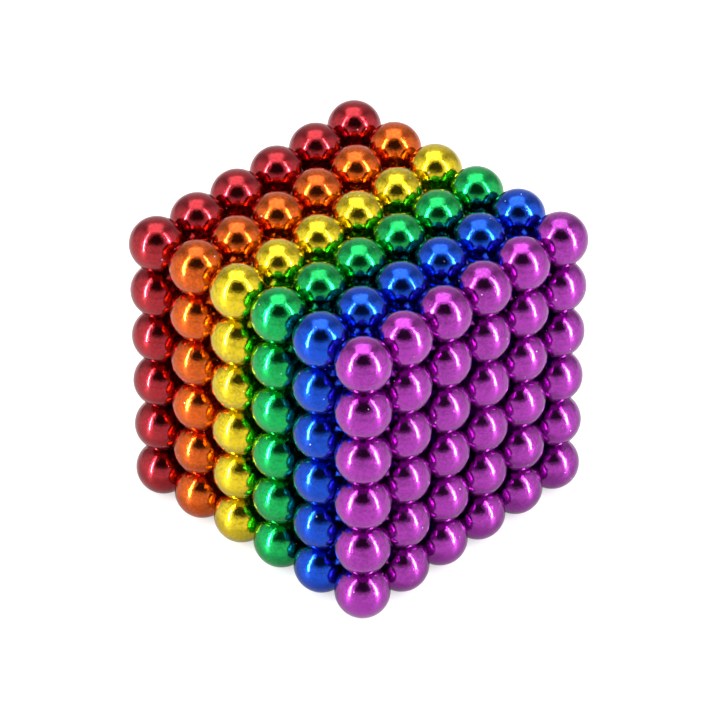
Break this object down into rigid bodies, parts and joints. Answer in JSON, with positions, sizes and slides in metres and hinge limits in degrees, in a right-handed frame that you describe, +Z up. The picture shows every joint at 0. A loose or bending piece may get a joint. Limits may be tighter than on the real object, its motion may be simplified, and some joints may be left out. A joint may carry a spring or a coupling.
{
  "type": "magnetic desk sculpture",
  "caption": "Desk toy cube of coloured metal ball magnets in upright single-colour layers, which pull apart, spread into columns, roll up and curl.",
  "frame": {"origin": "on the surface that the cube stands on, below its centre", "axes": "+Z up; the colour layers are stacked along Y, purple at -Y and red at +Y; the columns of a layer are numbered along +X"},
  "size_m": [0.03, 0.03, 0.0301],
  "materials": {
    "purple_coat": "polished",
    "blue_coat": "polished",
    "green_coat": "polished",
    "yellow_coat": "polished",
    "orange_coat": "polished",
    "red_coat": "polished"
  },
  "bodies": {
    "purple_column_1": {"purple_column_1": "purple_coat"},
    "purple_column_2": {"purple_column_2": "purple_coat"},
    "purple_column_3": {"purple_column_3": "purple_coat"},
    "purple_column_4": {"purple_column_4": "purple_coat"},
    "purple_column_5": {"purple_column_5": "purple_coat"},
    "purple_column_6": {"purple_column_6": "purple_coat"},
    "blue_ball_1": {"blue_ball_1": "blue_coat"},
    "blue_ball_2": {"blue_ball_2": "blue_coat"},
    "blue_ball_3": {"blue_ball_3": "blue_coat"},
    "blue_ball_4": {"blue_ball_4": "blue_coat"},
    "blue_ball_5": {"blue_ball_5": "blue_coat"},
    "blue_ball_6": {"blue_ball_6": "blue_coat"},
    "blue_column_2": {"blue_column_2": "blue_coat"},
    "blue_column_3": {"blue_column_3": "blue_coat"},
    "blue_column_4": {"blue_column_4": "blue_coat"},
    "blue_column_5": {"blue_column_5": "blue_coat"},
    "blue_column_6": {"blue_column_6": "blue_coat"},
    "green_ball_1": {"green_ball_1": "green_coat"},
    "green_ball_2": {"green_ball_2": "green_coat"},
    "green_ball_3": {"green_ball_3": "green_coat"},
    "green_ball_4": {"green_ball_4": "green_coat"},
    "green_ball_5": {"green_ball_5": "green_coat"},
    "green_ball_6": {"green_ball_6": "green_coat"},
    "green_column_2": {"green_column_2": "green_coat"},
    "green_column_3": {"green_column_3": "green_coat"},
    "green_column_4": {"green_column_4": "green_coat"},
    "green_column_5": {"green_column_5": "green_coat"},
    "green_column_6": {"green_column_6": "green_coat"},
    "yellow_ball_1": {"yellow_ball_1": "yellow_coat"},
    "yellow_ball_2": {"yellow_ball_2": "yellow_coat"},
    "yellow_ball_3": {"yellow_ball_3": "yellow_coat"},
    "yellow_ball_4": {"yellow_ball_4": "yellow_coat"},
    "yellow_ball_5": {"yellow_ball_5": "yellow_coat"},
    "yellow_ball_6": {"yellow_ball_6": "yellow_coat"},
    "yellow_column_2": {"yellow_column_2": "yellow_coat"},
    "yellow_column_3": {"yellow_column_3": "yellow_coat"},
    "yellow_column_4": {"yellow_column_4": "yellow_coat"},
    "yellow_column_5": {"yellow_column_5": "yellow_coat"},
    "yellow_column_6": {"yellow_column_6": "yellow_coat"},
    "orange_ball_1": {"orange_ball_1": "orange_coat"},
    "orange_ball_2": {"orange_ball_2": "orange_coat"},
    "orange_ball_3": {"orange_ball_3": "orange_coat"},
    "orange_ball_4": {"orange_ball_4": "orange_coat"},
    "orange_ball_5": {"orange_ball_5": "orange_coat"},
    "orange_ball_6": {"orange_ball_6": "orange_coat"},
    "orange_column_2": {"orange_column_2": "orange_coat"},
    "orange_column_3": {"orange_column_3": "orange_coat"},
    "orange_column_4": {"orange_column_4": "orange_coat"},
    "orange_column_5": {"orange_column_5": "orange_coat"},
    "orange_column_6": {"orange_column_6": "orange_coat"},
    "red_column_1": {"red_column_1": "red_coat"},
    "red_column_2": {"red_column_2": "red_coat"},
    "red_column_3": {"red_column_3": "red_coat"},
    "red_column_4": {"red_column_4": "red_coat"},
    "red_column_5": {"red_column_5": "red_coat"},
    "red_column_6": {"red_column_6": "red_coat"}
  },
  "joints": [
    {"name": "blue_layer_pull", "type": "slide", "parent": "green_column_6", "child": "blue_column_6", "axis": [0, -1, 0], "range_m": [0, 0.01]},
    {"name": "purple_layer_pull", "type": "slide", "parent": "blue_column_6", "child": "purple_column_6", "axis": [0, -1, 0], "range_m": [0, 0.01]},
    {"name": "yellow_layer_pull", "type": "slide", "parent": "green_column_6", "child": "yellow_column_6", "axis": [0, 1, 0], "range_m": [0, 0.01]},
    {"name": "orange_layer_pull", "type": "slide", "parent": "yellow_column_6", "child": "orange_column_6", "axis": [0, 1, 0], "range_m": [0, 0.01]},
    {"name": "red_layer_pull", "type": "slide", "parent": "orange_column_6", "child": "red_column_6", "axis": [0, 1, 0], "range_m": [0, 0.01]},
    {"name": "purple_column_5_roll", "type": "hinge", "parent": "purple_column_6", "child": "purple_column_5", "pos_m": [0.01255, -0.01255, 0.01505], "axis": [0, 0, 1], "range_deg": [0, 60]},
    {"name": "purple_column_4_roll", "type": "hinge", "parent": "purple_column_5", "child": "purple_column_4", "pos_m": [0.00753, -0.01255, 0.01505], "axis": [0, 0, 1], "range_deg": [0, 60]},
    {"name": "purple_column_3_roll", "type": "hinge", "parent": "purple_column_4", "child": "purple_column_3", "pos_m": [0.00251, -0.01255, 0.01505], "axis": [0, 0, 1], "range_deg": [0, 60]},
    {"name": "purple_column_2_roll", "type": "hinge", "parent": "purple_column_3", "child": "purple_column_2", "pos_m": [-0.00251, -0.01255, 0.01505], "axis": [0, 0, 1], "range_deg": [0, 60]},
    {"name": "purple_column_1_roll", "type": "hinge", "parent": "purple_column_2", "child": "purple_column_1", "pos_m": [-0.00753, -0.01255, 0.01505], "axis": [0, 0, 1], "range_deg": [0, 60]},
    {"name": "blue_column_5_pull", "type": "slide", "parent": "blue_column_6", "child": "blue_column_5", "axis": [-1, 0, 0], "range_m": [0, 0.01]},
    {"name": "blue_column_4_pull", "type": "slide", "parent": "blue_column_5", "child": "blue_column_4", "axis": [-1, 0, 0], "range_m": [0, 0.01]},
    {"name": "blue_column_3_pull", "type": "slide", "parent": "blue_column_4", "child": "blue_column_3", "axis": [-1, 0, 0], "range_m": [0, 0.01]},
    {"name": "blue_column_2_pull", "type": "slide", "parent": "blue_column_3", "child": "blue_column_2", "axis": [-1, 0, 0], "range_m": [0, 0.01]},
    {"name": "blue_column_1_pull", "type": "slide", "parent": "blue_column_2", "child": "blue_ball_1", "axis": [-1, 0, 0], "range_m": [0, 0.01]},
    {"name": "blue_ball_2_curl", "type": "hinge", "parent": "blue_ball_1", "child": "blue_ball_2", "pos_m": [-0.01255, -0.00753, 0.0025], "axis": [0, -1, 0], "range_deg": [0, 30]},
    {"name": "blue_ball_3_curl", "type": "hinge", "parent": "blue_ball_2", "child": "blue_ball_3", "pos_m": [-0.01255, -0.00753, 0.00752], "axis": [0, -1, 0], "range_deg": [0, 30]},
    {"name": "blue_ball_4_curl", "type": "hinge", "parent": "blue_ball_3", "child": "blue_ball_4", "pos_m": [-0.01255, -0.00753, 0.01254], "axis": [0, -1, 0], "range_deg": [0, 30]},
    {"name": "blue_ball_5_curl", "type": "hinge", "parent": "blue_ball_4", "child": "blue_ball_5", "pos_m": [-0.01255, -0.00753, 0.01756], "axis": [0, -1, 0], "range_deg": [0, 30]},
    {"name": "blue_ball_6_curl", "type": "hinge", "parent": "blue_ball_5", "child": "blue_ball_6", "pos_m": [-0.01255, -0.00753, 0.02258], "axis": [0, -1, 0], "range_deg": [0, 30]},
    {"name": "red_column_5_roll", "type": "hinge", "parent": "red_column_6", "child": "red_column_5", "pos_m": [0.01255, 0.01255, 0.01505], "axis": [0, 0, -1], "range_deg": [0, 60]},
    {"name": "red_column_4_roll", "type": "hinge", "parent": "red_column_5", "child": "red_column_4", "pos_m": [0.00753, 0.01255, 0.01505], "axis": [0, 0, -1], "range_deg": [0, 60]},
    {"name": "red_column_3_roll", "type": "hinge", "parent": "red_column_4", "child": "red_column_3", "pos_m": [0.00251, 0.01255, 0.01505], "axis": [0, 0, -1], "range_deg": [0, 60]},
    {"name": "red_column_2_roll", "type": "hinge", "parent": "red_column_3", "child": "red_column_2", "pos_m": [-0.00251, 0.01255, 0.01505], "axis": [0, 0, -1], "range_deg": [0, 60]},
    {"name": "red_column_1_roll", "type": "hinge", "parent": "red_column_2", "child": "red_column_1", "pos_m": [-0.00753, 0.01255, 0.01505], "axis": [0, 0, -1], "range_deg": [0, 60]},
    {"name": "green_column_5_pull", "type": "slide", "parent": "green_column_6", "child": "green_column_5", "axis": [-1, 0, 0], "range_m": [0, 0.01]},
    {"name": "green_column_4_pull", "type": "slide", "parent": "green_column_5", "child": "green_column_4", "axis": [-1, 0, 0], "range_m": [0, 0.01]},
    {"name": "green_column_3_pull", "type": "slide", "parent": "green_column_4", "child": "green_column_3", "axis": [-1, 0, 0], "range_m": [0, 0.01]},
    {"name": "green_column_2_pull", "type": "slide", "parent": "green_column_3", "child": "green_column_2", "axis": [-1, 0, 0], "range_m": [0, 0.01]},
    {"name": "green_column_1_pull", "type": "slide", "parent": "green_column_2", "child": "green_ball_1", "axis": [-1, 0, 0], "range_m": [0, 0.01]},
    {"name": "green_ball_2_curl", "type": "hinge", "parent": "green_ball_1", "child": "green_ball_2", "pos_m": [-0.01255, -0.00251, 0.0025], "axis": [0, -1, 0], "range_deg": [0, 30]},
    {"name": "green_ball_3_curl", "type": "hinge", "parent": "green_ball_2", "child": "green_ball_3", "pos_m": [-0.01255, -0.00251, 0.00752], "axis": [0, -1, 0], "range_deg": [0, 30]},
    {"name": "green_ball_4_curl", "type": "hinge", "parent": "green_ball_3", "child": "green_ball_4", "pos_m": [-0.01255, -0.00251, 0.01254], "axis": [0, -1, 0], "range_deg": [0, 30]},
    {"name": "green_ball_5_curl", "type": "hinge", "parent": "green_ball_4", "child": "green_ball_5", "pos_m": [-0.01255, -0.00251, 0.01756], "axis": [0, -1, 0], "range_deg": [0, 30]},
    {"name": "green_ball_6_curl", "type": "hinge", "parent": "green_ball_5", "child": "green_ball_6", "pos_m": [-0.01255, -0.00251, 0.02258], "axis": [0, -1, 0], "range_deg": [0, 30]},
    {"name": "yellow_column_5_pull", "type": "slide", "parent": "yellow_column_6", "child": "yellow_column_5", "axis": [-1, 0, 0], "range_m": [0, 0.01]},
    {"name": "yellow_column_4_pull", "type": "slide", "parent": "yellow_column_5", "child": "yellow_column_4", "axis": [-1, 0, 0], "range_m": [0, 0.01]},
    {"name": "yellow_column_3_pull", "type": "slide", "parent": "yellow_column_4", "child": "yellow_column_3", "axis": [-1, 0, 0], "range_m": [0, 0.01]},
    {"name": "yellow_column_2_pull", "type": "slide", "parent": "yellow_column_3", "child": "yellow_column_2", "axis": [-1, 0, 0], "range_m": [0, 0.01]},
    {"name": "yellow_column_1_pull", "type": "slide", "parent": "yellow_column_2", "child": "yellow_ball_1", "axis": [-1, 0, 0], "range_m": [0, 0.01]},
    {"name": "yellow_ball_2_curl", "type": "hinge", "parent": "yellow_ball_1", "child": "yellow_ball_2", "pos_m": [-0.01255, 0.00251, 0.0025], "axis": [0, -1, 0], "range_deg": [0, 30]},
    {"name": "yellow_ball_3_curl", "type": "hinge", "parent": "yellow_ball_2", "child": "yellow_ball_3", "pos_m": [-0.01255, 0.00251, 0.00752], "axis": [0, -1, 0], "range_deg": [0, 30]},
    {"name": "yellow_ball_4_curl", "type": "hinge", "parent": "yellow_ball_3", "child": "yellow_ball_4", "pos_m": [-0.01255, 0.00251, 0.01254], "axis": [0, -1, 0], "range_deg": [0, 30]},
    {"name": "yellow_ball_5_curl", "type": "hinge", "parent": "yellow_ball_4", "child": "yellow_ball_5", "pos_m": [-0.01255, 0.00251, 0.01756], "axis": [0, -1, 0], "range_deg": [0, 30]},
    {"name": "yellow_ball_6_curl", "type": "hinge", "parent": "yellow_ball_5", "child": "yellow_ball_6", "pos_m": [-0.01255, 0.00251, 0.02258], "axis": [0, -1, 0], "range_deg": [0, 30]},
    {"name": "orange_column_5_pull", "type": "slide", "parent": "orange_column_6", "child": "orange_column_5", "axis": [-1, 0, 0], "range_m": [0, 0.01]},
    {"name": "orange_column_4_pull", "type": "slide", "parent": "orange_column_5", "child": "orange_column_4", "axis": [-1, 0, 0], "range_m": [0, 0.01]},
    {"name": "orange_column_3_pull", "type": "slide", "parent": "orange_column_4", "child": "orange_column_3", "axis": [-1, 0, 0], "range_m": [0, 0.01]},
    {"name": "orange_column_2_pull", "type": "slide", "parent": "orange_column_3", "child": "orange_column_2", "axis": [-1, 0, 0], "range_m": [0, 0.01]},
    {"name": "orange_column_1_pull", "type": "slide", "parent": "orange_column_2", "child": "orange_ball_1", "axis": [-1, 0, 0], "range_m": [0, 0.01]},
    {"name": "orange_ball_2_curl", "type": "hinge", "parent": "orange_ball_1", "child": "orange_ball_2", "pos_m": [-0.01255, 0.00753, 0.0025], "axis": [0, -1, 0], "range_deg": [0, 30]},
    {"name": "orange_ball_3_curl", "type": "hinge", "parent": "orange_ball_2", "child": "orange_ball_3", "pos_m": [-0.01255, 0.00753, 0.00752], "axis": [0, -1, 0], "range_deg": [0, 30]},
    {"name": "orange_ball_4_curl", "type": "hinge", "parent": "orange_ball_3", "child": "orange_ball_4", "pos_m": [-0.01255, 0.00753, 0.01254], "axis": [0, -1, 0], "range_deg": [0, 30]},
    {"name": "orange_ball_5_curl", "type": "hinge", "parent": "orange_ball_4", "child": "orange_ball_5", "pos_m": [-0.01255, 0.00753, 0.01756], "axis": [0, -1, 0], "range_deg": [0, 30]},
    {"name": "orange_ball_6_curl", "type": "hinge", "parent": "orange_ball_5", "child": "orange_ball_6", "pos_m": [-0.01255, 0.00753, 0.02258], "axis": [0, -1, 0], "range_deg": [0, 30]}
  ]
}
